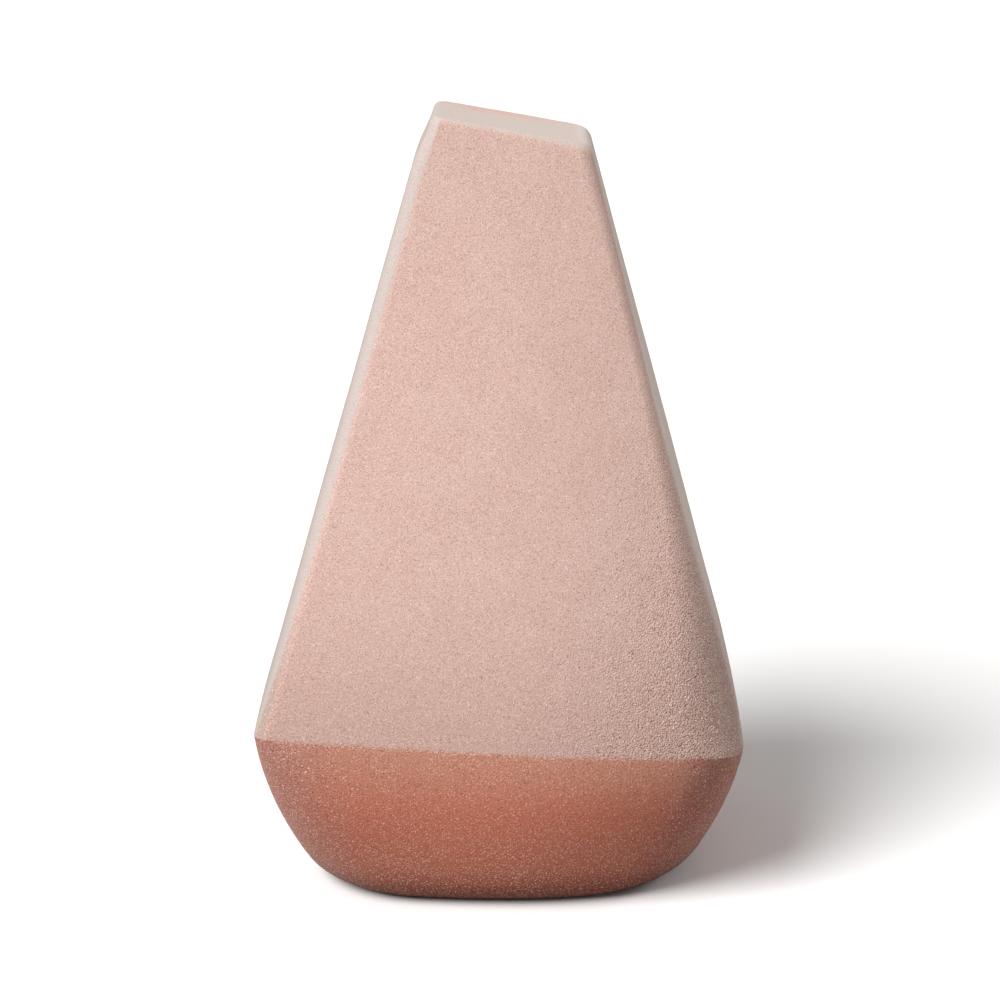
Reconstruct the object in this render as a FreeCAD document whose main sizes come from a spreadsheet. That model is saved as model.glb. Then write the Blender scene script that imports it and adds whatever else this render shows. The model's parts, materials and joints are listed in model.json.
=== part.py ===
"""A two-tone makeup sponge: a tapered foam body bonded to a bevelled foam base.

Millimetres, +Z up, the origin in the middle of the sole that the sponge stands on. The front face looks
along -Y. The two foams meet at the waist, the widest outline, and every piece takes that outline from the
same sizes. The left half of every outline is flatter and crisper than the right half.
"""

import math
import os
from typing import NamedTuple

import FreeCAD
import Part
import Sketcher

ORIGIN = FreeCAD.Vector(0, 0, 0)
UP = FreeCAD.Vector(0, 0, 1)
ACROSS_DEPTH = FreeCAD.Vector(0, 1, 0)

# How a sketch counts the points of an arc or line, and its own axes
START, END, CENTRE = range(1, 4)
HORIZONTAL_AXIS, VERTICAL_AXIS = range(-1, -3, -1)
ROOT_POINT = (HORIZONTAL_AXIS, START)

# Lengths in millimetres, angles in degrees
SIZES = {
    # The waist, where the two foams meet
    "waist_width": 40.2,
    "waist_depth": 36.0,
    "waist_height": 14.9,
    "waist_tilt": 3.2,
    "waist_left_corner": 1.4,
    "waist_right_corner": 5.5,
    "waist_left_crown_radius": 500.0,
    "waist_right_crown_radius": 72.0,
    "waist_side_crown_radius": 700.0,
    # Where the front and back of the body swell most, and by how much, past the straight taper
    "swell_share": 0.35,
    "swell_rise": 1.2,
    "swell_left_corner": 1.3,
    "swell_right_corner": 3.6,
    "swell_left_crown_radius": 200.0,
    "swell_right_crown_radius": 42.0,
    "swell_side_crown_radius": 700.0,
    # The slanted facet at the tip, measured at its middle
    "tip_width": 13.2,
    "tip_depth": 12.0,
    "tip_height": 63.3,
    "tip_slant": 10.0,
    "tip_shift": 0.2,
    "tip_left_corner": 1.2,
    "tip_right_corner": 1.8,
    "tip_left_crown_radius": 500.0,
    "tip_right_crown_radius": 72.0,
    "tip_side_crown_radius": 700.0,
    "tip_edge_round": 0.6,
    # The base half way down, where its bevel bulges
    "belly_width": 37.8,
    "belly_depth": 33.8,
    "belly_height": 6.6,
    "belly_left_corner": 8.0,
    "belly_right_corner": 9.7,
    "belly_left_crown_radius": 120.0,
    "belly_right_crown_radius": 50.0,
    "belly_side_crown_radius": 90.0,
    # The sole that the sponge stands on, before its edge is rounded
    "sole_width": 31.8,
    "sole_depth": 27.0,
    "sole_left_corner": 9.5,
    "sole_right_corner": 11.5,
    "sole_left_crown_radius": 50.0,
    "sole_right_crown_radius": 40.0,
    "sole_side_crown_radius": 40.0,
    "sole_edge_round": 3.8,
    # The adhesive film between the foams
    "film_thickness": 0.25,
    "film_setback": 1.5,
    "film_left_corner": 1.5,
    "film_clearance": 0.1,
    # How far a cut runs past what it cuts
    "cut_overrun": 2.0,
}

# The block is lofted past the tip, with the same tapers, and then cut off at the slant
TIP_RISE = "(Sizes.cut_overrun + Sizes.tip_width / 2 * tan(Sizes.tip_slant))"
TAPER_HEIGHT = "(Sizes.tip_height - Sizes.waist_height)"

# A face counts as turned along a direction when it is at most this far off it
FACING_TOLERANCE = math.radians(1)


def up_taper(waist, tip):
    """The expression for a size on the straight taper from the waist to the tip, where the body swells."""
    return f"({waist} + ({tip} - {waist}) * Sizes.swell_share)"


def past_tip(waist, tip):
    """The expression for a size that goes on straight past the tip, to where the loft ends."""
    return f"({tip} + ({tip} - {waist}) * {TIP_RISE} / {TAPER_HEIGHT})"


def rounds(section):
    """The expressions for the corners and crowns of the section with this name."""
    names = ("left_corner", "right_corner", "left_crown_radius", "right_crown_radius", "side_crown_radius")
    return [f"Sizes.{section}_{name}" for name in names]


def add_sheet(doc):
    """The sheet of driving sizes, one named cell each."""
    sheet = doc.addObject("Spreadsheet::Sheet", "Sizes")
    for row, (name, size) in enumerate(SIZES.items(), start=1):
        sheet.set(f"A{row}", name)
        sheet.set(f"B{row}", str(size))
        sheet.setAlias(f"B{row}", name)
    doc.recompute()


def add_body(doc, name):
    body = doc.addObject("PartDesign::Body", name)
    body.Label = name
    body.Placement = FreeCAD.Placement()
    return body


def add_sketch(body, name, plane_role):
    """An empty sketch on one of the body's own origin planes."""
    sketch = body.newObject("Sketcher::SketchObject", name)
    plane = next(item for item in body.Origin.OriginFeatures if item.Role == plane_role)
    sketch.AttachmentSupport = [(plane, "")]
    sketch.MapMode = "FlatFace"
    return sketch


def constrain(sketch, *constraint):
    return sketch.addConstraint(Sketcher.Constraint(*constraint))


def bind(sketch, name, expression, *constraint):
    """Adds a named dimension to a sketch and drives it from the sheet."""
    sketch.renameConstraint(constrain(sketch, *constraint), name)
    sketch.setExpression(f"Constraints.{name}", expression)


def place(sketch, height, shift="0", tilt=None):
    """Lifts a sketch to its height, moves it sideways and tilts it about the depth axis, low side to +X."""
    if tilt:
        turn = FreeCAD.Rotation(ACROSS_DEPTH, sketch.evalExpression(tilt))
        sketch.AttachmentOffset = FreeCAD.Placement(ORIGIN, turn)
        sketch.setExpression("AttachmentOffset.Rotation.Angle", tilt)
    sketch.setExpression("AttachmentOffset.Base.x", shift)
    sketch.setExpression("AttachmentOffset.Base.z", height)


class Quarter(NamedTuple):
    """The centres of the front, corner and side arcs in a quarter of an outline, and where the arcs meet."""

    front_centre: FreeCAD.Vector
    corner_centre: FreeCAD.Vector
    side_centre: FreeCAD.Vector
    front_end: FreeCAD.Vector
    side_end: FreeCAD.Vector

    def mirrored(self, across_x, across_y):
        return Quarter(*(FreeCAD.Vector(point.x * across_x, point.y * across_y, 0) for point in self))


def towards(start, through, distance):
    """The point at a distance from start on the line through another point."""
    return start + (through - start).normalize() * distance


def right_front_quarter(half_width, half_depth, corner, front_crown, side_crown):
    """The corner's centre is where the front's and side's circles, drawn in by the corner's radius, cross."""
    front_centre = FreeCAD.Vector(0, front_crown - half_depth, 0)
    side_centre = FreeCAD.Vector(half_width - side_crown, 0, 0)
    apart = (side_centre - front_centre).Length
    from_front, from_side = front_crown - corner, side_crown - corner
    along = (apart**2 + from_front**2 - from_side**2) / (2 * apart)
    across = math.sqrt(from_front**2 - along**2)
    line = (side_centre - front_centre).normalize()
    corner_centre = front_centre + line * along + UP.cross(line) * across
    front_end = towards(front_centre, corner_centre, front_crown)
    side_end = towards(side_centre, corner_centre, side_crown)
    return Quarter(front_centre, corner_centre, side_centre, front_end, side_end)


def circle_arc(centre, first, last):
    """The arc round centre that runs anticlockwise from the point first to the point last."""
    angles = [math.atan2(point.y - centre.y, point.x - centre.x) for point in (first, last)]
    return Part.ArcOfCircle(Part.Circle(centre, UP, (first - centre).Length), *angles)


def crowned_outline(body, name, width, depth, left_corner, right_corner, left_crown, right_crown, side_crown):
    """A rectangle whose sides bow outwards as arcs, joined by corner arcs; front and back are alike."""
    sketch = add_sketch(body, name, "XY_Plane")
    sizes = (width, depth, left_corner, right_corner, left_crown, right_crown, side_crown)
    full_width, full_depth, left_r, right_r, left_bow, right_bow, side_bow = (
        float(sketch.evalExpression(size)) for size in sizes
    )
    half_width, half_depth = full_width / 2, full_depth / 2
    right = right_front_quarter(half_width, half_depth, right_r, right_bow, side_bow)
    left = right_front_quarter(half_width, half_depth, left_r, left_bow, side_bow).mirrored(-1, 1)
    right_rear, left_rear = right.mirrored(1, -1), left.mirrored(1, -1)
    front_middle, rear_middle = FreeCAD.Vector(0, -half_depth, 0), FreeCAD.Vector(0, half_depth, 0)

    # Anticlockwise from the middle of the front
    arcs = [
        circle_arc(right.front_centre, front_middle, right.front_end),
        circle_arc(right.corner_centre, right.front_end, right.side_end),
        circle_arc(right.side_centre, right.side_end, right_rear.side_end),
        circle_arc(right_rear.corner_centre, right_rear.side_end, right_rear.front_end),
        circle_arc(right_rear.front_centre, right_rear.front_end, rear_middle),
        circle_arc(left_rear.front_centre, rear_middle, left_rear.front_end),
        circle_arc(left_rear.corner_centre, left_rear.front_end, left_rear.side_end),
        circle_arc(left.side_centre, left_rear.side_end, left.side_end),
        circle_arc(left.corner_centre, left.side_end, left.front_end),
        circle_arc(left.front_centre, left.front_end, front_middle),
    ]
    sketch.addGeometry(arcs, False)
    numbers = range(len(arcs))
    front_right, right_bend, right_side, right_rear_bend, rear_right = numbers[: len(arcs) // 2]
    rear_left, left_rear_bend, left_side, left_bend, front_left = numbers[len(arcs) // 2 :]

    for number in numbers:
        following = (number + 1) % len(arcs)
        if number in (rear_right, front_left):
            constrain(sketch, "Coincident", number, END, following, START)
            constrain(sketch, "PointOnObject", number, END, VERTICAL_AXIS)
        else:
            constrain(sketch, "Tangent", number, END, following, START)
    for number in (front_right, rear_right, rear_left, front_left):
        constrain(sketch, "PointOnObject", number, CENTRE, VERTICAL_AXIS)
    for number in (right_side, left_side):
        constrain(sketch, "PointOnObject", number, CENTRE, HORIZONTAL_AXIS)
    bind(sketch, "left_corner", left_corner, "Radius", left_bend, left_r)
    bind(sketch, "right_corner", right_corner, "Radius", right_bend, right_r)
    bind(sketch, "left_crown", left_crown, "Radius", front_left, left_bow)
    bind(sketch, "right_crown", right_crown, "Radius", front_right, right_bow)
    bind(sketch, "side_crown", side_crown, "Radius", right_side, side_bow)
    constrain(sketch, "Equal", left_bend, left_rear_bend)
    constrain(sketch, "Equal", right_bend, right_rear_bend)
    constrain(sketch, "Equal", front_left, rear_left)
    constrain(sketch, "Equal", front_right, rear_right)
    constrain(sketch, "Equal", right_side, left_side)
    front_reach = f"{right_crown} - ({depth}) / 2"
    side_reach = f"{side_crown} - ({width}) / 2"
    front_away, side_away = right.front_centre.y, -right.side_centre.x
    bind(sketch, "front_reach", front_reach, "DistanceY", *ROOT_POINT, front_right, CENTRE, front_away)
    bind(sketch, "rear_reach", front_reach, "DistanceY", rear_right, CENTRE, *ROOT_POINT, front_away)
    bind(sketch, "right_reach", side_reach, "DistanceX", right_side, CENTRE, *ROOT_POINT, side_away)
    bind(sketch, "left_reach", side_reach, "DistanceX", *ROOT_POINT, left_side, CENTRE, side_away)
    return sketch


def waist_outline(body):
    """The outline that the two foams share, on the tilted plane where they meet."""
    sketch = crowned_outline(
        body, f"{body.Name}_waist", "Sizes.waist_width", "Sizes.waist_depth", *rounds("waist")
    )
    place(sketch, "Sizes.waist_height", tilt="Sizes.waist_tilt")
    return sketch


def swell_outline(body):
    """The section where the front and back swell most; its sides stay on the straight taper."""
    width = up_taper("Sizes.waist_width", "Sizes.tip_width")
    depth = up_taper("Sizes.waist_depth", "Sizes.tip_depth") + " + 2 * Sizes.swell_rise"
    sketch = crowned_outline(body, "upper_swell", width, depth, *rounds("swell"))
    height = up_taper("Sizes.waist_height", "Sizes.tip_height")
    tilt = "Sizes.waist_tilt * (1 - Sizes.swell_share)"
    place(sketch, height, "Sizes.tip_shift * Sizes.swell_share", tilt)
    return sketch


def end_outline(body):
    """The section past the tip where the loft ends."""
    width = past_tip("Sizes.waist_width", "Sizes.tip_width")
    depth = past_tip("Sizes.waist_depth", "Sizes.tip_depth")
    sketch = crowned_outline(body, "upper_end", width, depth, *rounds("tip"))
    place(sketch, f"Sizes.tip_height + {TIP_RISE}", past_tip("0", "Sizes.tip_shift"))
    return sketch


def base_outline(body, section, height):
    """An outline of the base below the waist, from the sizes that start with the section's name."""
    width, depth = f"Sizes.{section}_width", f"Sizes.{section}_depth"
    sketch = crowned_outline(body, f"base_{section}", width, depth, *rounds(section))
    place(sketch, height)
    return sketch


def film_outline(body, name, clearance):
    """The film's outline, drawn in from the waist's and widened by a clearance where the recess needs one."""
    inset = f"(Sizes.film_setback - {clearance})"
    sketch = crowned_outline(
        body,
        name,
        f"Sizes.waist_width - 2 * {inset}",
        f"Sizes.waist_depth - 2 * {inset}",
        f"Sizes.film_left_corner + {clearance}",
        f"Sizes.waist_right_corner - {inset}",
        f"Sizes.waist_left_crown_radius - {inset}",
        f"Sizes.waist_right_crown_radius - {inset}",
        f"Sizes.waist_side_crown_radius - {inset}",
    )
    place(sketch, "Sizes.waist_height", tilt="Sizes.waist_tilt")
    return sketch


def tip_cut_outline(body):
    """The slanted cut, drawn from the front: a line through the facet's middle, closed above the block."""
    sketch = add_sketch(body, "tip_cut_outline", "XZ_Plane")
    sizes = body.Document.Sizes
    reach = sizes.tip_width + sizes.cut_overrun
    fall = reach * math.tan(math.radians(sizes.tip_slant))
    top = sizes.tip_height + fall + reach
    corners = [
        FreeCAD.Vector(sizes.tip_shift - reach, sizes.tip_height + fall, 0),
        FreeCAD.Vector(sizes.tip_shift + reach, sizes.tip_height - fall, 0),
        FreeCAD.Vector(sizes.tip_shift + reach, top, 0),
        FreeCAD.Vector(sizes.tip_shift - reach, top, 0),
    ]
    slant, right, lid, left = range(len(corners))
    for number, corner in enumerate(corners):
        sketch.addGeometry(Part.LineSegment(corner, corners[(number + 1) % len(corners)]), False)
    for number in range(len(corners)):
        constrain(sketch, "Coincident", number, END, (number + 1) % len(corners), START)
    constrain(sketch, "Horizontal", lid)
    constrain(sketch, "Vertical", right)
    constrain(sketch, "Vertical", left)
    reach_sum = "(Sizes.tip_width + Sizes.cut_overrun)"
    high_sum = f"Sizes.tip_height + {reach_sum} * tan(Sizes.tip_slant)"
    low_sum = f"Sizes.tip_height - {reach_sum} * tan(Sizes.tip_slant)"
    left_sum, right_sum = f"{reach_sum} - Sizes.tip_shift", f"{reach_sum} + Sizes.tip_shift"
    bind(sketch, "left_reach", left_sum, "DistanceX", slant, START, *ROOT_POINT, reach)
    bind(sketch, "right_reach", right_sum, "DistanceX", *ROOT_POINT, slant, END, reach)
    bind(sketch, "high_end", high_sum, "DistanceY", *ROOT_POINT, slant, START, top)
    bind(sketch, "low_end", low_sum, "DistanceY", *ROOT_POINT, slant, END, top)
    bind(sketch, "lid_height", f"{high_sum} + {reach_sum}", "DistanceY", *ROOT_POINT, lid, START, top)
    return sketch


def loft(body, name, profile, sections):
    """A smooth skin from a profile through the sections."""
    feature = body.newObject("PartDesign::AdditiveLoft", name)
    feature.Profile = (profile, [""])
    feature.Sections = [(section, [""]) for section in sections]
    body.Document.recompute()
    return feature


def round_edges(body, name, base, radius, face_test):
    """Rounds every edge of the one face of the base feature that passes a test."""
    face = next(face for face in base.Shape.Faces if face_test(face))
    names = []
    for number, edge in enumerate(base.Shape.Edges, start=1):
        if any(edge.isSame(rim) for rim in face.Edges):
            names.append(f"Edge{number}")
    feature = body.newObject("PartDesign::Fillet", name)
    feature.Base = (base, names)
    feature.setExpression("Radius", radius)
    body.Document.recompute()
    return feature


def faces_along(direction):
    """A test for a flat face whose outward normal is nearly along a direction."""

    def test(face):
        flat = isinstance(face.Surface, Part.Plane)
        return flat and face.normalAt(0, 0).dot(direction) > math.cos(FACING_TOLERANCE)

    return test


def cut_depth_check(before, after):
    """A cut that points away from the solid leaves the volume as it was."""
    if after.Shape.Volume >= before.Shape.Volume:
        raise RuntimeError(f"{after.Name} removed nothing")


def make_upper_body(doc):
    """The pale foam: a four-sided taper, swollen low down, from the waist to a slanted tip."""
    body = add_body(doc, "upper_body")
    waist, swell, end = waist_outline(body), swell_outline(body), end_outline(body)
    taper = loft(body, "upper_taper", waist, [swell, end])
    cut = body.newObject("PartDesign::Pocket", "tip_cut")
    cut.Profile = (tip_cut_outline(body), [""])
    cut.Type = "ThroughAll"
    cut.SideType = "Symmetric"
    doc.recompute()
    cut_depth_check(taper, cut)
    slope = math.radians(doc.Sizes.tip_slant)
    facet = faces_along(FreeCAD.Vector(math.sin(slope), 0, math.cos(slope)))
    body.Tip = round_edges(body, "tip_rim", cut, "Sizes.tip_edge_round", facet)
    return body


def make_base_dome(doc):
    """The terracotta foam: a bulging bevel from the waist down to a rounded sole, recessed for the film."""
    body = add_body(doc, "base_dome")
    waist = waist_outline(body)
    belly = base_outline(body, "belly", "Sizes.belly_height")
    sole = base_outline(body, "sole", "0")
    bevel = loft(body, "base_bevel", waist, [belly, sole])
    rounded = round_edges(body, "sole_rim", bevel, "Sizes.sole_edge_round", faces_along(-UP))
    recess = body.newObject("PartDesign::Pocket", "film_recess")
    recess.Profile = (film_outline(body, "film_recess_outline", "Sizes.film_clearance"), [""])
    recess.Type = "Length"
    recess.setExpression("Length", "Sizes.film_thickness")
    doc.recompute()
    cut_depth_check(rounded, recess)
    body.Tip = recess
    return body


def make_bond_film(doc):
    """The adhesive film: it fills the recess and ends flush with the waist."""
    body = add_body(doc, "bond_film")
    film = body.newObject("PartDesign::Pad", "film")
    film.Profile = (film_outline(body, "film_outline", "0"), [""])
    film.Reversed = True
    film.setExpression("Length", "Sizes.film_thickness")
    doc.recompute()
    body.Tip = film
    return body


def check(doc, pieces):
    """Stops if any object failed to compute or any piece isn't one valid solid."""
    for item in doc.Objects:
        if {"Invalid", "Error"} & set(item.State):
            raise RuntimeError(f"{item.Name} failed: {item.State}")
    for piece in pieces:
        shape = piece.Shape
        if shape.isNull() or not shape.isValid() or len(shape.Solids) != 1:
            raise RuntimeError(f"{piece.Label} is not one valid solid")


def main():
    doc = FreeCAD.newDocument("makeup_sponge")
    add_sheet(doc)
    pieces = [make(doc) for make in (make_upper_body, make_base_dome, make_bond_film)]
    doc.recompute()
    check(doc, pieces)
    os.makedirs("parts", exist_ok=True)
    for piece in pieces:
        piece.Shape.exportStep(f"parts/{piece.Label}.step")
        box = piece.Shape.BoundBox
        print(f"{piece.Label}: {piece.Shape.Volume:.0f} mm3")
        print(f"  {box.XLength:.2f} x {box.YLength:.2f} x {box.ZLength:.2f} mm")


main()
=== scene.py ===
"""A makeup sponge: a tapered rose foam body bonded to a rounded foam base, whose terracotta is painted
shade.

The frame gives the size of each foam. The foams are closed meshes, made ring by ring from the same crowned
outline as the solids, with the softer edges and the uneven surface that foam has. Sizes are in millimetres
until the meshes are made.
"""

import json
import math

import bpy
import numpy as np
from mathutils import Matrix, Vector, noise

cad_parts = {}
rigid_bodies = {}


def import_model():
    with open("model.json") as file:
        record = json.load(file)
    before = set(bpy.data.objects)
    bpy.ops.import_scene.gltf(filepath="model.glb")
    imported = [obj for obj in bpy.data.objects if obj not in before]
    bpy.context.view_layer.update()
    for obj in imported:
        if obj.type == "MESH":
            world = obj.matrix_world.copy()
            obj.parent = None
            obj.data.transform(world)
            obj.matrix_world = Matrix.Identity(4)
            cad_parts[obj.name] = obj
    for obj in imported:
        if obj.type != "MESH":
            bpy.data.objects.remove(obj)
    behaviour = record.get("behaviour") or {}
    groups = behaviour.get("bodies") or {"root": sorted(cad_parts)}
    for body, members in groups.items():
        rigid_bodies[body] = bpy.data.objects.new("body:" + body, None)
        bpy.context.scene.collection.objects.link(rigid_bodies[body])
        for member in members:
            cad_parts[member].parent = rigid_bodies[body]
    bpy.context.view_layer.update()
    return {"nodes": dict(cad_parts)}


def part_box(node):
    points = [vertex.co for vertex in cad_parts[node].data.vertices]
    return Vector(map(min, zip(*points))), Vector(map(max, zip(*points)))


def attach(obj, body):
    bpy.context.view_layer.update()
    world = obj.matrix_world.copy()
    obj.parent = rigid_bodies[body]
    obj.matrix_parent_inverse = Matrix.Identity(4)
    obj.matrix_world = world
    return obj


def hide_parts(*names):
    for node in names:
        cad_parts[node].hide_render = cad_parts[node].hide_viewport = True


MM = 0.001

# The camera, as found from the outline in the photograph
CAMERA_TARGET = (-0.24, 0.0, 31.16)
CAMERA_DISTANCE = 240.0
CAMERA_ELEVATION = 15.11
CAMERA_YAW = 0.6
CAMERA_SENSOR = 36.0
CAMERA_LENS = 102.14
CAMERA_NEAR = 10.0

# The floor: its reach, its colour as seen and the darker colour that it throws back at the sponge
FLOOR_REACH = 3000.0
FLOOR_WHITE = (1.0, 1.0, 1.0, 1.0)
FLOOR_BOUNCE = (0.32, 0.31, 0.30, 1.0)

# The two lamps: where each one's light comes from, its strength and its spread in degrees
KEY_FROM = (-0.54, -0.51, 0.67)
KEY_STRENGTH = 3.95
KEY_SPREAD = 35.0
RIM_FROM = (0.8, 0.45, 0.35)
RIM_STRENGTH = 0.8
RIM_SPREAD = 20.0

# The colour and the strength of the even sky
SKY = (1.0, 0.97, 0.95, 1.0)
SKY_STRENGTH = 0.28

# The waist, where the foams meet. The left half is flatter and crisper than the right half
WAIST_CORNERS = (1.4, 6.2)
FRONT_CROWNS = (500.0, 72.0)
SIDE_CROWN = 700.0

# The slanted tip of the upper body
TIP_WIDTH = 13.2
TIP_DEPTH = 12.0
TIP_CORNERS = (1.3, 1.0)
TIP_HEIGHT = 63.3
TIP_SLANT = 10.0
TIP_SHIFT = 0.2
TIP_ROUND_LEFT = 0.5
TIP_ROUND_RIGHT = 1.0

# How far the left side leans in below the tip, from how far down, and how soon it is full round the corner
TIP_LEAN = 0.45
TIP_LEAN_LENGTH = 3.8
TIP_LEAN_GAIN = 1.5

# How the faces bulge, most a third of the way up, and how much less of it reaches the left and right edges
FRONT_SWELL = 1.2
SWELL_LOSS = (0.3, 0.55)

# The rounded crest above the waist: how far it stands out to the left, right and front, and its height
CREST_OUT = (0.0, 0.28, 0.1)
CREST_HEIGHT = 5.0

# How quickly the right corners tighten above the waist, and how much rounder they first get, up to a height
CORNER_FALL = 3.0
CORNER_SWELL = 1.2
CORNER_SWELL_HEIGHT = 4.0

# The base, half way down and at the sole, and how far the sole's edge is rounded inwards and upwards.
# Sizes are the width, the depth, the left and right corners, the left and right crowns and the side crown
BELLY_SIZES = (37.8, 33.8, (8.0, 9.5), (120.0, 38.0), 90.0)
BELLY_HEIGHT = 6.6
SOLE_SIZES = (31.8, 27.0, (9.5, 11.5), (50.0, 40.0), 40.0)
SOLE_ROUND = 2.356

# The recess for the adhesive film in the top of the base
FILM_SETBACK = 1.4
FILM_THICKNESS = 0.25
FILM_CORNERS = (1.6, 4.1)

# How far the surface wanders and over what distance, and how near the seam and the sole it keeps still
SEAM_RAGGED = (0.15, 0.8)
FOAM_WAVE = (0.05, 12.0)
FOAM_GRAIN = (0.015, 0.7)
STILL_REACH = 1.5

# The seam dips round the right side: how far, over what width, and how far above and below the foam follows
SEAM_DIP = 0.6
SEAM_DIP_WIDTH = 4.5
SEAM_DIP_REACH = 5.0

# The painted sheen and rim light along the upright edges, in widths at the waist and at the tip, and how
# softly it starts
LEFT_BAND = (0.65, 1.05)
RIGHT_BAND = (0.45, 0.12)
BAND_SOFT = 0.12

# Low down on the left, up to a share of the height, the painted sheen thins to a share and painted shade
# dulls the corner
LOW_BAND = 0.35
CORNER_SHADE = 0.85
CORNER_SHADE_SOFT = 0.6
CORNER_SHADE_HEIGHT = 0.42

# The facet's painted sheen, as shares of the way round its rim: where it starts and how softly
FACET_START = 0.2
FACET_SOFT = 0.3

# The pink rim at the far side of the facet, as shares of the way to its middle: its width and its fade.
# Then how softly the far side starts, and how much of the rim is lost on the right
FAR_RIM = (0.4, 0.3)
FAR_SOFT = 0.5
FAR_LOSS = 0.6

# Points along half a front, a corner and half a side of an outline, and the angle that makes an edge sharp
UPPER_COUNTS = (66, 16, 50)
BASE_COUNTS = (40, 34, 32)
SHARP_ANGLE = 50.0

# Rings up the upper body, round its tip's rim and across its facet, and the sizes of those in its underside
LEVEL_COUNT = 150
RIM_COUNT = 9
CAP_COUNT = 12
UNDERSIDE_SHARES = (0.5, 0.96)

# Rings across the sole, round its edge and up the bevel, and the size of the one inside the recess
SOLE_COUNT = 16
ROUND_COUNT = 40
BEVEL_COUNT = 60
RECESS_SHARE = 0.5

# The colours of the rose foam
ROSE = (0.645, 0.438, 0.38, 1.0)
ROSE_DEEP = (0.625, 0.419, 0.361, 1.0)
# Painted shade: the pink darkened towards the seam
ROSE_PAINTED_SHADE = (0.555, 0.355, 0.303, 1.0)
# Painted sheen on the facet
ROSE_PAINTED_FACET_SHEEN = (0.585, 0.505, 0.462, 1.0)
# Painted sheen on the upright left edge
ROSE_PAINTED_EDGE_SHEEN = (0.52, 0.468, 0.44, 1.0)
# Painted shade dulling the low left corner
ROSE_CORNER_SHADE = (0.38, 0.29, 0.25, 1.0)
# Painted highlights: rim light on the right edge, and lit cell walls
ROSE_PAINTED_HIGHLIGHT = (0.88, 0.79, 0.72, 1.0)
# The grain's dark flecks, and painted shade in pores and pits
ROSE_GRAIN_AND_PORE_SHADE = (0.27, 0.155, 0.125, 1.0)
# The grain's light flecks, and painted glints on lit cell walls
ROSE_GRAIN_AND_GLINT = (0.90, 0.71, 0.62, 1.0)
ROSE_SHEEN = (1.0, 0.93, 0.88, 1.0)

# The rose foam's clouds, grain and cells, the cells' height, and how far up from the seam its painted shade
# reaches
ROSE_CLOUD = 4.0
ROSE_GRAIN = 0.1
ROSE_CELL = 0.15
ROSE_CELL_HEIGHT = 0.022
ROSE_PAINTED_SHADE_REACH = 14.0

# Spots in the rose foam, each as a spacing and a radius: painted shade in pores and pits, painted glints on
# cell walls
ROSE_PORES = (0.22, 0.06)
ROSE_PITS = (0.25, 0.09)
ROSE_DEEP_PITS = (0.3, 0.11)
ROSE_LONE_PORES = (0.7, 0.08)
ROSE_SPECKS = (0.3, 0.055)
ROSE_CRESTS = (0.26, 0.085)

# The way the rose foam gets coarser, with more painted shade and highlights, and from where to where along
# it
LOW_RIGHT = (1.0, 0.0, -0.35)
COARSE_PORES = (-18.0, 13.0)
COARSE_PITS = (-4.0, 14.0)
COARSE_CRESTS = (4.0, 14.0)
COARSE_CELLS = (-8.0, 14.0)

# Where the left edge's painted sheen gives way to the right edge's painted rim light
EDGE_CHANGE = (-1.0, 1.0)

# The colours of the base foam, whose terracotta is painted shade
CLAY_PAINTED_SHADE = (0.56, 0.178, 0.113, 1.0)
# Painted light under the seam
CLAY_PAINTED_LIGHT = (0.53, 0.24, 0.167, 1.0)
# The grain's light flecks, and painted glints on lit cell walls
CLAY_GRAIN_AND_GLINT = (0.98, 0.68, 0.56, 1.0)
# The grain's dark flecks, and painted shade in pores
CLAY_GRAIN_AND_PORE_SHADE = (0.2, 0.055, 0.035, 1.0)
# Painted shade at the foot
CLAY_PAINTED_FOOT_SHADE = (0.25, 0.062, 0.04, 1.0)
# Painted shade and sheen on the ends
CLAY_PAINTED_END_SHADE_AND_SHEEN = (0.42, 0.19, 0.165, 1.0)
CLAY_SHEEN = (1.0, 0.85, 0.78, 1.0)

# The base foam's grain and cells, and the cells' height
CLAY_GRAIN = 0.12
CLAY_CELL = 0.16
CLAY_CELL_HEIGHT = 0.014

# Spots in the base foam, each as a spacing and a radius: painted shade in pores, painted glints on cell
# walls
CLAY_PORES = (0.3, 0.06)
CLAY_END_PORES = (0.26, 0.08)
CLAY_SPECKS = ((0.25, 0.07), (0.17, 0.05))
CLAY_END_SPECKS = (0.28, 0.085)

# The depths under the seam over which the painted light fades and the ends' pore shade and glints grow,
# then the heights over which the foot's painted shade and the painted glints set in
LIGHT_DEPTHS = (6.0, 0.0)
END_SPOT_DEPTHS = (0.0, 8.0)
FOOT_HEIGHTS = (4.5, 0.6)
GLINT_HEIGHTS = (12.0, 1.5)

# Where the ends' painted shade, sheen and glints start and are full, out from the middle, and how much
# further per height
END_SPAN = (8.0, 16.5)
END_SLOPE = 0.25

# Single cells that stray past the seam: their size, how fast they thin out, and their threshold
STRAY_CELL = 0.2
STRAY_FADE = 0.5
STRAY_SPAN = (0.48, 0.56)

# The full middle of a spot as a share of its radius, and where a rounded cell ends as a share of its size
SPOT_CORE = 0.4
CELL_SPAN = (0.0, 0.85)

# The adhesive film: its two colours, the size of its clouds, and the size and height of its ripples
GLUE = (0.75, 0.68, 0.60, 1.0)
GLUE_DARK = (0.66, 0.58, 0.50, 1.0)
GLUE_CLOUD = 3.0
GLUE_RIPPLE = 0.8
GLUE_RIPPLE_HEIGHT = 0.03

# The part of a noise's range that clouds are eased over
CLOUD_SPAN = (0.35, 0.65)


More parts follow.
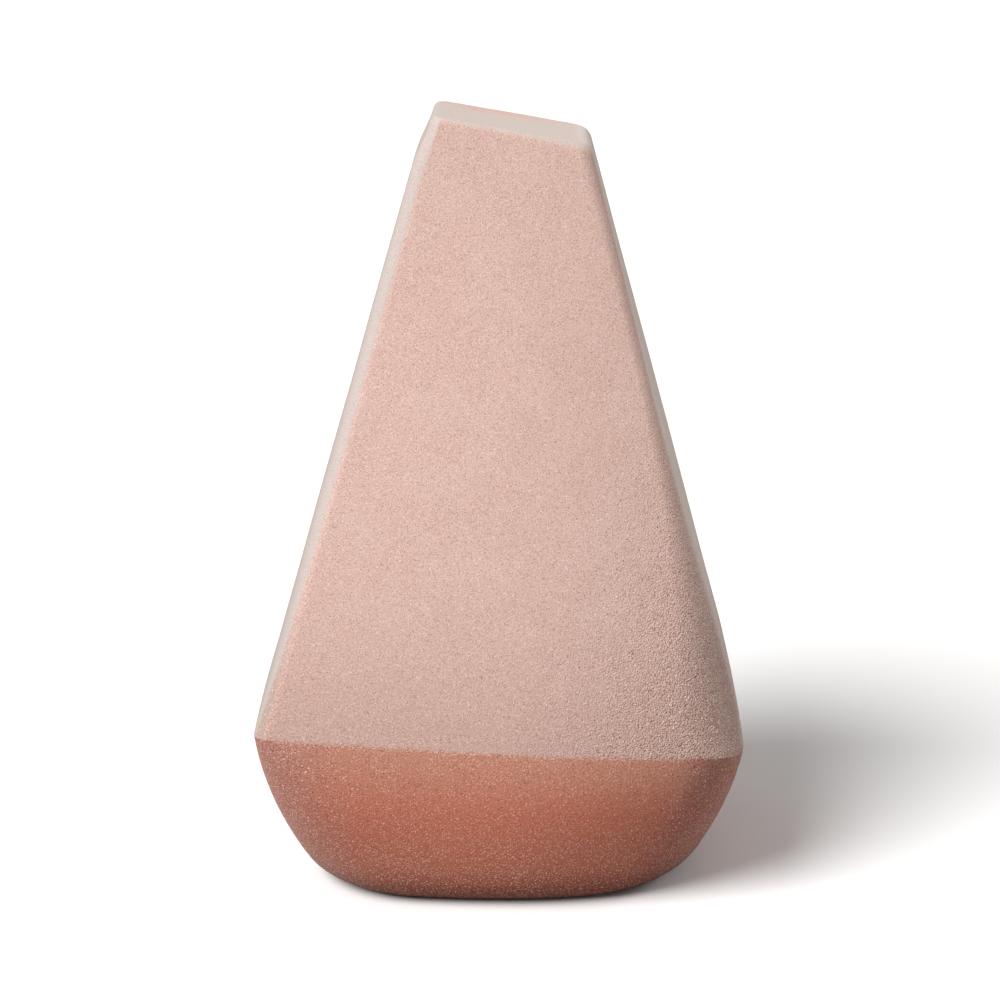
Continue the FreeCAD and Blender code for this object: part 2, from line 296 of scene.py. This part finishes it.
def crowned_quarter(width, depth, corner, front_crown, side_crown, counts):
    """Points from the front middle round a corner to the side middle of a rectangle with bowed sides."""
    front_centre = np.array([0.0, front_crown - depth / 2])
    side_centre = np.array([width / 2 - side_crown, 0.0])
    line = side_centre - front_centre
    apart = np.hypot(*line)
    line /= apart
    from_front = front_crown - corner
    along = (apart**2 + from_front**2 - (side_crown - corner) ** 2) / (2 * apart)
    across = math.sqrt(from_front**2 - along**2)
    corner_centre = front_centre + line * along + np.array([-line[1], line[0]]) * across
    turn_front = math.atan2(*(corner_centre - front_centre)[::-1])
    turn_side = math.atan2(*(corner_centre - side_centre)[::-1])
    arcs = [
        (front_centre, front_crown, -math.pi / 2, turn_front, counts[0]),
        (corner_centre, corner, turn_front, turn_side, counts[1]),
        (side_centre, side_crown, turn_side, 0.0, counts[2]),
    ]
    quarter = []
    for centre, radius, start, end, count in arcs:
        turns = np.linspace(start, end, count, endpoint=False)
        quarter.append(centre + radius * np.stack([np.cos(turns), np.sin(turns)], axis=1))
    quarter.append([[width / 2, 0.0]])
    return np.concatenate(quarter)


def crowned_ring(sizes, counts):
    """The whole outline, anticlockwise from the front middle, its left and right halves not the same."""
    width, depth, corners, front_crowns, side_crown = sizes
    left, right = (
        crowned_quarter(width, depth, corner, front_crown, side_crown, counts)
        for corner, front_crown in zip(corners, front_crowns)
    )
    right_back = right[::-1] * (1, -1)
    left_front = left[::-1] * (-1, 1)
    return np.concatenate([right[:-1], right_back[:-1], -left[:-1], left_front[:-1]])


def lifted(ring, height, tilt=0.0, shift=0.0):
    """A flat ring at a height, tilted about the depth axis with its low side to the right."""
    x, y = ring[:, 0], ring[:, 1]
    return np.stack([x * math.cos(tilt) + shift, y, height - x * math.sin(tilt)], axis=1)


def shrunk(ring, share):
    """A ring drawn in towards its middle."""
    return ring.mean(0) + (ring - ring.mean(0)) * share


def turned(start, corner, end, share):
    """A ring at a share of the way along the curve that rounds a corner between two rings."""
    return start * (1 - share) ** 2 + 2 * corner * share * (1 - share) + end * share**2


def smoothed(share):
    """Eases a share from 0 to 1 at both ends."""
    share = np.clip(share, 0.0, 1.0)
    return share * share * (3 - 2 * share)


def wander(points, amount, period, offset):
    """A smooth uneven number for each point, the same on every run."""
    shift = Vector((offset, offset, offset))
    return np.array([amount * noise.noise(Vector(point) / period + shift) for point in points])


def ragged(ring):
    """Lets the line where the foams meet rise and fall a little."""
    ring = ring.copy()
    ring[:, 2] += wander(ring, *SEAM_RAGGED, offset=11.0)
    return ring


def dip(ring, from_waist):
    """How far a ring sinks on the right, most at the waist."""
    near = max(0.0, 1 - from_waist / SEAM_DIP_REACH)
    return SEAM_DIP * near**2 * smoothed(1 + (ring[:, 0] - ring[:, 0].max()) / SEAM_DIP_WIDTH)


def skin(name, rings):
    """A closed mesh through rings of equal count, from the bottom one to the top one."""
    count = len(rings[0])
    points = np.concatenate([*rings, [rings[0].mean(0)], [rings[-1].mean(0)]])
    bottom, top = len(points) - 2, len(points) - 1
    faces = []
    for level in range(len(rings) - 1):
        low = level * count
        for index in range(count):
            following = (index + 1) % count
            faces.append((low + index, low + following, low + count + following, low + count + index))
    last = (len(rings) - 1) * count
    for index in range(count):
        following = (index + 1) % count
        faces.append((bottom, following, index))
        faces.append((top, last + index, last + following))
    mesh = bpy.data.meshes.new(name)
    mesh.from_pydata(points.tolist(), [], faces)
    mesh.validate()
    return mesh


def roughen(mesh, still):
    """Moves each point along its normal by the foam's wave and grain, less where still is near 1."""
    count = len(mesh.vertices)
    points, normals = np.zeros(count * 3), np.zeros(count * 3)
    mesh.vertices.foreach_get("co", points)
    mesh.vertices.foreach_get("normal", normals)
    points, normals = points.reshape(-1, 3), normals.reshape(-1, 3)
    amount = wander(points, *FOAM_WAVE, offset=3.0) + wander(points, *FOAM_GRAIN, offset=7.0)
    points += normals * (amount * (1 - still(points)))[:, None]
    mesh.vertices.foreach_set("co", (points * MM).ravel())
    mesh.update()


def add_piece(mesh, material):
    """Puts a mesh in the scene as a smooth piece with a material."""
    piece = bpy.data.objects.new(mesh.name, mesh)
    bpy.context.scene.collection.objects.link(piece)
    mesh.materials.append(material)
    mesh.shade_smooth()
    mesh.set_sharp_from_angle(angle=math.radians(SHARP_ANGLE))
    return piece


def add_mask(mesh, name, values):
    """A number per point that a material can read, given ring by ring."""
    values = np.concatenate([*values, [values[0].mean()], [values[-1].mean()]])
    mask = mesh.attributes.new(name, "FLOAT", "POINT")
    mask.data.foreach_set("value", values.astype(np.float32))


class Waist:
    """The tilted outline that both foams share, read from the frame."""

    def __init__(self):
        base_high = np.array(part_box("base_dome")[1]) / MM
        upper_low, upper_high = (np.array(corner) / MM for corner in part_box("upper_body"))
        rise = (base_high[2] - upper_low[2]) / 2
        self.height = upper_low[2] + rise
        self.tilt = math.atan2(rise, upper_high[0])
        self.width = 2 * upper_high[0] / math.cos(self.tilt)
        self.depth = 2 * base_high[1]

    def sizes(self, inset, corners):
        """The outline's sizes, drawn in by an inset."""
        return (
            self.width - 2 * inset,
            self.depth - 2 * inset,
            corners,
            tuple(crown - inset for crown in FRONT_CROWNS),
            SIDE_CROWN - inset,
        )

    def ring(self, counts, inset=0.0, corners=WAIST_CORNERS):
        """The outline on its tilted plane."""
        return lifted(crowned_ring(self.sizes(inset, corners), counts), self.height, self.tilt)

    def above(self, points):
        """How far points lie above the waist's plane."""
        return points[:, 2] - self.height + points[:, 0] * math.tan(self.tilt)


def tip_ring(waist_ring):
    """Where the straight tapers from the waist meet the slanted plane of the tip."""
    slope = math.tan(math.radians(TIP_SLANT))
    tip_sizes = (TIP_WIDTH, TIP_DEPTH, TIP_CORNERS, FRONT_CROWNS, SIDE_CROWN)
    level = lifted(crowned_ring(tip_sizes, UPPER_COUNTS), TIP_HEIGHT, shift=TIP_SHIFT)
    along = level - waist_ring
    above = waist_ring[:, 2] - TIP_HEIGHT + (waist_ring[:, 0] - TIP_SHIFT) * slope
    share = -above / (along[:, 2] + along[:, 0] * slope)
    return waist_ring + along * share[:, None]


def outward(ring):
    """The direction, seen from above, that each point of an outline faces."""
    along = np.roll(ring, -1, axis=0) - np.roll(ring, 1, axis=0)
    facing = np.stack([along[:, 1], -along[:, 0]], axis=1)
    return facing / np.linalg.norm(facing, axis=1)[:, None]


def section_corners(waist, share):
    """The left and right corner radii at a share of the way up, the right ones tightening early."""
    left = TIP_CORNERS[0] + (WAIST_CORNERS[0] - TIP_CORNERS[0]) * (1 - share)
    right = TIP_CORNERS[1] + (WAIST_CORNERS[1] - TIP_CORNERS[1]) * (1 - share) ** CORNER_FALL
    above = share * (TIP_HEIGHT - waist.height) / CORNER_SWELL_HEIGHT
    right += CORNER_SWELL * above * math.exp(1 - above)
    return left, right


def corner_shift(waist, share):
    """How far the eased corners move a section's points from those of a straight taper."""
    tip_sizes = (TIP_WIDTH, TIP_DEPTH)
    width, depth = (low + (high - low) * share for low, high in zip((waist.width, waist.depth), tip_sizes))
    straight = tuple(low + (high - low) * share for low, high in zip(WAIST_CORNERS, TIP_CORNERS))
    eased, plain = (
        crowned_ring((width, depth, corners, FRONT_CROWNS, SIDE_CROWN), UPPER_COUNTS)
        for corners in (section_corners(waist, share), straight)
    )
    return eased - plain


def swell(ring, facing, share):
    """How far the front and back bulge, less towards the edges. With 27 / 4 the curve's top is 1."""
    across = ring[:, 0] - ring[:, 0].mean()
    across = across / np.abs(across).max()
    loss = np.where(across < 0, *SWELL_LOSS)
    profile = (1 - loss * across**2) * smoothed(np.abs(facing[:, 1]))
    return np.sign(facing[:, 1]) * FRONT_SWELL * profile * 27 / 4 * share * (1 - share) ** 2


def crest(facing, share, height):
    """How far a section stands out from the straight taper, to leave a rounded crest at the waist."""
    to_left, to_right, to_front = CREST_OUT
    out = to_front * facing[:, 1] ** 2 + np.where(facing[:, 0] < 0, to_left, to_right) * facing[:, 0] ** 2
    return out * (1 - share - max(0.0, 1 - height / CREST_HEIGHT) ** 2)


def lean(facing, from_tip):
    """How far the left side leans in towards the tip."""
    return TIP_LEAN * smoothed(1 - from_tip / TIP_LEAN_LENGTH) * smoothed(-facing[:, 0] * TIP_LEAN_GAIN)


def edge_band(waist, facing, share):
    """How much painted sheen and rim light the upright edges give a section's points, and how much painted
    shade dulls its low left corner.
    """
    sideways = np.abs(facing[:, 0])
    to_left = facing[:, 0] < 0
    left_edge, right_edge = (sideways[index] for index in (-UPPER_COUNTS[0] - 1, UPPER_COUNTS[0] + 1))
    left_band, right_band = (low + (high - low) * share for low, high in (LEFT_BAND, RIGHT_BAND))
    left_corner, right_corner = section_corners(waist, share)
    crisp = smoothed(share / CORNER_SHADE_HEIGHT)
    left_band *= LOW_BAND + (1 - LOW_BAND) * crisp
    left_start = max(left_edge, 1 - left_band / left_corner)
    right_start = max(right_edge, 1 - right_band / right_corner)
    band = smoothed((sideways - np.where(to_left, left_start, right_start)) / BAND_SOFT)
    blush = CORNER_SHADE * (1 - crisp) * smoothed((sideways - left_edge) / CORNER_SHADE_SOFT) * to_left
    return band, blush


def tip_rounding(start, end):
    """How far to the right each point of the tip is, and where its rounded rim starts and ends."""
    middle = end.mean(0)
    along = end - start
    along /= np.linalg.norm(along, axis=1)[:, None]
    inward = middle - end
    inward /= np.linalg.norm(inward, axis=1)[:, None]
    rightness = smoothed((end[:, 0] - middle[0]) / (TIP_WIDTH / 2))
    rounding = (TIP_ROUND_LEFT + (TIP_ROUND_RIGHT - TIP_ROUND_LEFT) * rightness)[:, None]
    return rightness, end - along * rounding, end + inward * rounding


def upper_rings(waist):
    """The rose foam's rings, from its underside to its tip, and the masks that its material reads."""
    start = waist.ring(UPPER_COUNTS)
    end = tip_ring(start)
    middle = end.mean(0)
    rightness, rim_start, rim_end = tip_rounding(start, end)
    facing = outward(start)
    backward = smoothed(facing[:, 1] / FAR_SOFT)
    far_rim = backward * (1 - FAR_LOSS * rightness)
    top = TIP_HEIGHT - waist.height
    rings = []
    masks = {"edge": [], "blush": [], "facet": [], "from_seam": []}

    def add(ring, **values):
        """Adds a ring with its masks. A mask without a value is 0 all round."""
        rings.append(ring)
        for name, mask in masks.items():
            mask.append(np.zeros(len(ring)) + values.get(name, 0.0))

    band, blush = edge_band(waist, facing, 0.0)
    for share in UNDERSIDE_SHARES:
        add(shrunk(start, share), edge=band, blush=blush)
    for share in np.linspace(0.0, 1.0, LEVEL_COUNT):
        ring = start + (rim_start - start) * share
        height = share * top
        ring[:, 1] += swell(ring, facing, share)
        ring[:, :2] += corner_shift(waist, share) + facing * crest(facing, share, height)[:, None]
        ring[:, 0] += lean(facing, top - height)
        ring[:, 2] -= dip(ring, height)
        band, blush = edge_band(waist, outward(ring), share)
        add(ragged(ring) if share == 0.0 else ring, edge=band, blush=blush, from_seam=height)
    for points in (rim_start, end, rim_end):
        points[:, 0] += lean(facing, 0.0)
        points[:, 2] -= lean(facing, 0.0) * math.tan(math.radians(TIP_SLANT))
    band = edge_band(waist, outward(rim_start), 1.0)[0] * (1 - backward)
    for share in np.linspace(0.0, 1.0, RIM_COUNT)[1:]:
        facet = smoothed((share - FACET_START) / FACET_SOFT) * (1 - backward)
        add(turned(rim_start, end, rim_end, share), edge=band, facet=facet, from_seam=top)
    for share in np.linspace(1.0, 0.0, CAP_COUNT, endpoint=False)[1:]:
        facet = 1 - far_rim * (1 - smoothed((1 - share - FAR_RIM[0]) / FAR_RIM[1]))
        add(middle + (rim_end - middle) * share, facet=facet, from_seam=top)
    return rings, masks


def base_rings(waist):
    """The base foam from the middle of its sole, round the edge, up the bevel and into the recess."""
    top = waist.ring(BASE_COUNTS)
    belly = lifted(crowned_ring(BELLY_SIZES, BASE_COUNTS), BELLY_HEIGHT)
    foot = lifted(crowned_ring(SOLE_SIZES, BASE_COUNTS), 0.0)
    belly_share = (waist.height - BELLY_HEIGHT) / waist.height

    def bevel(share):
        """The curve from the waist at 0 through the belly to the foot at 1."""
        to_top = (share - belly_share) * (share - 1) / belly_share
        to_belly = share * (share - 1) / (belly_share * (belly_share - 1))
        to_foot = share * (share - belly_share) / (1 - belly_share)
        return top * to_top + belly * to_belly + foot * to_foot

    reach = np.linalg.norm(foot[:, :2], axis=1)[:, None]
    sole_rim = foot * (1 - SOLE_ROUND / reach)
    cut_share = 1 - SOLE_ROUND / waist.height
    rings = [sole_rim * share for share in np.linspace(0.0, 1.0, SOLE_COUNT)[1:-1]]
    bevel_end = bevel(cut_share)
    rings += [turned(sole_rim, foot, bevel_end, share) for share in np.linspace(0.0, 1.0, ROUND_COUNT)]
    depths = [cut_share * waist.height] * len(rings)
    for share in np.linspace(cut_share, 0.0, BEVEL_COUNT)[1:]:
        ring = bevel(share)
        ring[:, 2] -= dip(ring, share * waist.height)
        rings.append(ring)
        depths.append(share * waist.height)
    rings[-1] = ragged(rings[-1])
    lip = waist.ring(BASE_COUNTS, FILM_SETBACK, FILM_CORNERS)
    floor = lip - np.array([math.sin(waist.tilt), 0.0, math.cos(waist.tilt)]) * FILM_THICKNESS
    recess = [lip, floor, shrunk(floor, RECESS_SHARE)]
    depths += [0.0] * len(recess)
    return rings + recess, [np.full(len(top), depth) for depth in depths]


class Nodes:
    """A short way to write a material's node tree."""

    def __init__(self, material):
        material.use_nodes = True
        self.tree = material.node_tree
        self.shader = self.tree.nodes["Principled BSDF"]

    def put(self, node, inputs):
        """Links or sets a node's inputs."""
        for name, value in inputs.items():
            if isinstance(value, bpy.types.NodeSocket):
                self.tree.links.new(value, node.inputs[name])
            else:
                node.inputs[name].default_value = value

    def add(self, kind, inputs=None, **settings):
        """A new node with its settings and inputs."""
        node = self.tree.nodes.new(kind)
        for name, value in settings.items():
            setattr(node, name, value)
        self.put(node, inputs or {})
        return node

    def position(self):
        """The place on the foam, in millimetres."""
        place = self.add("ShaderNodeTexCoord").outputs["Object"]
        inputs = {0: place, "Scale": 1 / MM}
        return self.add("ShaderNodeVectorMath", inputs, operation="SCALE").outputs["Vector"]

    def axes(self, place):
        """A place's three coordinates."""
        return self.add("ShaderNodeSeparateXYZ", {"Vector": place}).outputs

    def along(self, place, way):
        """How far a place lies along a way."""
        node = self.add("ShaderNodeVectorMath", {0: place, 1: way}, operation="DOT_PRODUCT")
        return node.outputs["Value"]

    def attribute(self, name):
        """A mask of the mesh."""
        return self.add("ShaderNodeAttribute", attribute_name=name).outputs["Fac"]

    def noise(self, place, period, detail=2.0):
        """A cloudy number from 0 to 1."""
        inputs = {"Vector": place, "Scale": 1 / period, "Detail": detail}
        return self.add("ShaderNodeTexNoise", inputs).outputs["Fac"]

    def between(self, value, span, to=(0.0, 1.0)):
        """A value eased from one range to another."""
        inputs = {"Value": value, "From Min": span[0], "From Max": span[1]}
        inputs |= {"To Min": to[0], "To Max": to[1]}
        return self.add("ShaderNodeMapRange", inputs, interpolation_type="SMOOTHSTEP").outputs["Result"]

    def math(self, operation, first, second):
        """One operation on two numbers."""
        return self.add("ShaderNodeMath", {0: first, 1: second}, operation=operation).outputs["Value"]

    def times(self, first, second):
        """The product of two numbers."""
        return self.math("MULTIPLY", first, second)

    def larger(self, first, second):
        """The larger of two numbers."""
        return self.math("MAXIMUM", first, second)

    def cells(self, place, spacing):
        """How far a place is from the middle of a scattered cell, in spacings, and a chance per cell."""
        cells = self.add("ShaderNodeTexVoronoi", {"Vector": place, "Scale": 1 / spacing})
        chance = self.add("ShaderNodeSeparateColor", {"Color": cells.outputs["Color"]}).outputs["Red"]
        return cells.outputs["Distance"], chance

    def spots(self, place, sizes, share):
        """Round spots of a spacing and a radius, one in some of the cells of a scattered grid."""
        spacing, radius = sizes
        distance, chance = self.cells(place, spacing)
        near = self.between(distance, (radius / spacing, SPOT_CORE * radius / spacing))
        return self.times(near, self.math("LESS_THAN", chance, share))

    def pebbles(self, place, size):
        """The heights of rounded cells packed side by side."""
        return self.between(self.cells(place, size)[0], CELL_SPAN, (1.0, 0.0))

    def strays(self, place, beyond):
        """Single cells of one foam that show past the seam, fewer the further they are beyond it."""
        chance = self.math("SUBTRACT", self.noise(place, STRAY_CELL), self.times(beyond, STRAY_FADE))
        return self.between(chance, STRAY_SPAN)

    def mix(self, factor, first, second):
        """A colour between two colours."""
        node = self.add("ShaderNodeMix", data_type="RGBA")
        self.put(node, {0: factor, 6: first, 7: second})
        return node.outputs[2]

    def bump(self, height, distance):
        """The normals of a surface with small heights."""
        inputs = {"Height": height, "Distance": distance * MM, "Strength": 1.0}
        return self.add("ShaderNodeBump", inputs).outputs["Normal"]

    def finish(self, colour, normal, **sockets):
        """Links the colour and the normals to the shader, and sets its other sockets."""
        self.tree.links.new(colour, self.shader.inputs["Base Color"])
        self.tree.links.new(normal, self.shader.inputs["Normal"])
        for name, value in sockets.items():
            self.shader.inputs[name.replace("_", " ")].default_value = value


def rose_foam():
    """Matte open-cell foam: a pale painted sheen, finely pored, on the edges and pink faces with painted
    glints.
    """
    material = bpy.data.materials.new("rose_foam")
    nodes = Nodes(material)
    place = nodes.position()
    edge, blush, facet, above = (nodes.attribute(name) for name in ("edge", "blush", "facet", "from_seam"))
    pale = nodes.larger(edge, facet)
    low_right = nodes.along(place, LOW_RIGHT)
    to_seam = (ROSE_PAINTED_SHADE_REACH, 0.0)

    # The pink, with painted shade towards the seam and in the low left corner, with its fine grain
    colour = nodes.mix(nodes.between(nodes.noise(place, ROSE_CLOUD), CLOUD_SPAN), ROSE, ROSE_DEEP)
    colour = nodes.mix(nodes.between(above, to_seam, (0.0, 0.75)), colour, ROSE_PAINTED_SHADE)
    colour = nodes.mix(blush, colour, ROSE_CORNER_SHADE)
    grain = nodes.noise(place, ROSE_GRAIN, detail=1.0)
    colour = nodes.mix(nodes.between(grain, (0.5, 0.2), (0.0, 0.6)), colour, ROSE_GRAIN_AND_PORE_SHADE)
    colour = nodes.mix(nodes.between(grain, (0.5, 0.8), (0.0, 0.6)), colour, ROSE_GRAIN_AND_GLINT)

    # Painted shade in holes, then painted highlights on lit cell walls, more of each low on the right
    near_seam = nodes.between(above, to_seam, (0.0, 0.7))
    coarser = nodes.larger(nodes.between(low_right, COARSE_PORES), near_seam)
    rough = nodes.between(low_right, COARSE_CRESTS, (0.0, 0.8))
    pores = nodes.spots(place, ROSE_PORES, nodes.between(coarser, (0.0, 1.0), (0.4, 0.95)))
    pits = nodes.spots(place, ROSE_PITS, nodes.between(low_right, COARSE_PITS, (0.0, 0.8)))
    lone_pores = nodes.spots(place, ROSE_LONE_PORES, 0.3)
    deep_pits = nodes.spots(place, ROSE_DEEP_PITS, rough)
    for holes, depth in ((pores, 0.8), (pits, 1.0), (lone_pores, 0.6), (deep_pits, 0.9)):
        colour = nodes.mix(nodes.times(holes, depth), colour, ROSE_GRAIN_AND_PORE_SHADE)
    specks = nodes.spots(place, ROSE_SPECKS, nodes.between(low_right, COARSE_PORES, (0.4, 1.0)))
    colour = nodes.mix(specks, colour, ROSE_GRAIN_AND_GLINT)
    colour = nodes.mix(nodes.spots(place, ROSE_CRESTS, rough), colour, ROSE_PAINTED_HIGHLIGHT)

    # Painted sheen on the edges and the facet, painted rim light on the right edge, with fainter pores
    edge_colour = nodes.mix(nodes.between(nodes.axes(place)["X"], EDGE_CHANGE), ROSE_PAINTED_EDGE_SHEEN, ROSE_PAINTED_HIGHLIGHT)
    colour = nodes.mix(nodes.times(edge, 0.82), colour, edge_colour)
    colour = nodes.mix(nodes.times(facet, 0.85), colour, ROSE_PAINTED_FACET_SHEEN)
    faint = nodes.larger(nodes.between(grain, (0.5, 0.2), (0.0, 0.3)), nodes.times(pores, 0.3))
    colour = nodes.mix(nodes.times(faint, pale), colour, ROSE_GRAIN_AND_PORE_SHADE)
    colour = nodes.mix(nodes.strays(place, above), colour, CLAY_PAINTED_LIGHT)

    # Rounded cells, higher low on the right and more even under the painted sheen
    coarse = nodes.between(low_right, COARSE_CELLS, (0.3, 3.3))
    coarse = nodes.times(coarse, nodes.between(pale, (0.0, 1.0), (1.0, 0.4)))
    coarse = nodes.larger(coarse, nodes.times(pale, 0.8))
    normal = nodes.bump(nodes.times(nodes.pebbles(place, ROSE_CELL), coarse), ROSE_CELL_HEIGHT)
    sheen = {"Sheen_Weight": 0.25, "Sheen_Roughness": 0.5, "Sheen_Tint": ROSE_SHEEN}
    nodes.finish(colour, normal, Roughness=0.95, Specular_IOR_Level=0.15, **sheen)
    return material


def terracotta_foam():
    """Velvety foam in saturated painted shade, with painted light under the seam and painted glints of tiny
    cell walls.
    """
    material = bpy.data.materials.new("terracotta_foam")
    nodes = Nodes(material)
    place = nodes.position()
    below = nodes.attribute("from_seam")
    axes = nodes.axes(place)
    height = axes["Z"]
    aside = nodes.math("ABSOLUTE", axes["X"], 0.0)
    ends = nodes.between(nodes.math("SUBTRACT", aside, nodes.times(height, END_SLOPE)), END_SPAN)

    # The terracotta as painted shade, with painted light under the seam and more painted shade at the foot
    colour = nodes.mix(nodes.between(below, LIGHT_DEPTHS), CLAY_PAINTED_SHADE, CLAY_PAINTED_LIGHT)
    colour = nodes.mix(nodes.between(height, FOOT_HEIGHTS, (0.0, 0.95)), colour, CLAY_PAINTED_FOOT_SHADE)
    # Painted shade and sheen at the ends, then the fine grain
    colour = nodes.mix(nodes.times(ends, 0.6), colour, CLAY_PAINTED_END_SHADE_AND_SHEEN)
    grain = nodes.noise(place, CLAY_GRAIN, detail=1.0)
    colour = nodes.mix(nodes.between(grain, (0.48, 0.2), (0.0, 0.65)), colour, CLAY_GRAIN_AND_PORE_SHADE)
    colour = nodes.mix(nodes.between(grain, (0.55, 0.8), (0.0, 0.4)), colour, CLAY_GRAIN_AND_GLINT)

    # Painted shade in pores, then painted glints on bright cell walls, more of each at the ends and low
    # down
    ends = nodes.times(ends, nodes.between(below, END_SPOT_DEPTHS, (0.6, 1.0)))
    at_ends = nodes.times(ends, 0.6)
    glint_amount = nodes.larger(nodes.between(height, GLINT_HEIGHTS), ends)
    share = nodes.between(glint_amount, (0.0, 1.0), (0.3, 1.0))
    bright = nodes.between(glint_amount, (0.0, 1.0), (0.65, 1.0))
    colour = nodes.mix(nodes.spots(place, CLAY_PORES, 0.45), colour, CLAY_GRAIN_AND_PORE_SHADE)
    colour = nodes.mix(nodes.spots(place, CLAY_END_PORES, at_ends), colour, CLAY_GRAIN_AND_PORE_SHADE)
    for sizes in CLAY_SPECKS:
        colour = nodes.mix(nodes.times(nodes.spots(place, sizes, share), bright), colour, CLAY_GRAIN_AND_GLINT)
    colour = nodes.mix(nodes.spots(place, CLAY_END_SPECKS, at_ends), colour, CLAY_GRAIN_AND_GLINT)
    colour = nodes.mix(nodes.strays(place, below), colour, ROSE)

    normal = nodes.bump(nodes.pebbles(place, CLAY_CELL), CLAY_CELL_HEIGHT)
    sheen = {"Sheen_Weight": 0.12, "Sheen_Roughness": 0.4, "Sheen_Tint": CLAY_SHEEN}
    nodes.finish(colour, normal, Roughness=0.9, Specular_IOR_Level=0.2, **sheen)
    return material


def adhesive():
    """The dull hot-melt film between the foams, which only shows when they are taken apart."""
    material = bpy.data.materials.new("adhesive")
    nodes = Nodes(material)
    place = nodes.position()
    colour = nodes.mix(nodes.between(nodes.noise(place, GLUE_CLOUD), CLOUD_SPAN), GLUE, GLUE_DARK)
    normal = nodes.bump(nodes.noise(place, GLUE_RIPPLE), GLUE_RIPPLE_HEIGHT)
    nodes.finish(colour, normal, Roughness=0.5)
    return material


def add_upper_body(waist):
    """The rose foam, in place of the upper body's solid."""
    rings, masks = upper_rings(waist)
    mesh = skin("upper_foam", rings)
    for name, values in masks.items():
        add_mask(mesh, name, values)
    roughen(mesh, lambda points: 1 - smoothed(waist.above(points) / STILL_REACH))
    piece = add_piece(mesh, rose_foam())
    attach(piece, "root")
    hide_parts("upper_body")


def add_base(waist):
    """The base foam, painted terracotta as shade, in place of the base's solid."""
    rings, depths = base_rings(waist)
    mesh = skin("base_foam", rings)
    add_mask(mesh, "from_seam", depths)

    def still(points):
        """1 at the seam and at the sole, and 0 away from both."""
        return 1 - smoothed(-waist.above(points) / STILL_REACH) * smoothed(points[:, 2] / STILL_REACH)

    roughen(mesh, still)
    piece = add_piece(mesh, terracotta_foam())
    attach(piece, "root")
    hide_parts("base_dome")


def dress_film(frame):
    """The film keeps its solid, with a material of its own."""
    film = frame["nodes"]["bond_film"]
    film.data.materials.clear()
    film.data.materials.append(adhesive())


def add_camera():
    """The camera, looking at its target from the front and a little above."""
    camera = bpy.data.cameras.new("camera")
    camera.sensor_width = CAMERA_SENSOR
    camera.lens = CAMERA_LENS
    camera.clip_start = CAMERA_NEAR * MM
    holder = bpy.data.objects.new("camera", camera)
    bpy.context.scene.collection.objects.link(holder)
    turn, rise = math.radians(CAMERA_YAW), math.radians(CAMERA_ELEVATION)
    back = Vector((math.sin(turn) * math.cos(rise), -math.cos(turn) * math.cos(rise), math.sin(rise)))
    holder.location = (Vector(CAMERA_TARGET) + back * CAMERA_DISTANCE) * MM
    holder.rotation_euler = back.to_track_quat("Z", "Y").to_euler()
    bpy.context.scene.camera = holder


def floor_material():
    """A white floor that throws little of its light back up at the sponge."""
    material = bpy.data.materials.new("floor")
    material.use_nodes = True
    tree = material.node_tree
    tree.nodes.clear()
    shown, bounced = (tree.nodes.new("ShaderNodeBsdfDiffuse") for _ in range(2))
    shown.inputs["Color"].default_value = FLOOR_WHITE
    bounced.inputs["Color"].default_value = FLOOR_BOUNCE
    ray = tree.nodes.new("ShaderNodeLightPath")
    either = tree.nodes.new("ShaderNodeMixShader")
    output = tree.nodes.new("ShaderNodeOutputMaterial")
    tree.links.new(ray.outputs["Is Camera Ray"], either.inputs[0])
    tree.links.new(bounced.outputs[0], either.inputs[1])
    tree.links.new(shown.outputs[0], either.inputs[2])
    tree.links.new(either.outputs[0], output.inputs["Surface"])
    return material


def add_floor():
    """A square floor under the sponge."""
    reach = FLOOR_REACH * MM
    mesh = bpy.data.meshes.new("floor")
    corners = [(-reach, -reach, 0), (reach, -reach, 0), (reach, reach, 0), (-reach, reach, 0)]
    mesh.from_pydata(corners, [], [(0, 1, 2, 3)])
    floor = bpy.data.objects.new("floor", mesh)
    bpy.context.scene.collection.objects.link(floor)
    mesh.materials.append(floor_material())


def add_sun(name, direction, strength, spread):
    """A soft light from one direction."""
    lamp = bpy.data.lights.new(name, "SUN")
    lamp.energy = strength
    lamp.angle = math.radians(spread)
    holder = bpy.data.objects.new(name, lamp)
    bpy.context.scene.collection.objects.link(holder)
    holder.rotation_euler = Vector(direction).to_track_quat("Z", "Y").to_euler()


def add_light():
    """A soft key from the upper left, a weak rim light from behind on the right and an even white sky."""
    add_sun("key", KEY_FROM, KEY_STRENGTH, KEY_SPREAD)
    add_sun("rim", RIM_FROM, RIM_STRENGTH, RIM_SPREAD)
    world = bpy.data.worlds.new("sky")
    world.use_nodes = True
    background = world.node_tree.nodes["Background"]
    background.inputs["Color"].default_value = SKY
    background.inputs["Strength"].default_value = SKY_STRENGTH
    bpy.context.scene.world = world


def clear_scene():
    """Takes away whatever the scene starts with."""
    for thing in list(bpy.data.objects):
        bpy.data.objects.remove(thing)


clear_scene()
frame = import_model()
bpy.context.scene.view_settings.view_transform = "Standard"
add_camera()
add_floor()
add_light()
waist = Waist()
add_upper_body(waist)
add_base(waist)
dress_film(frame)
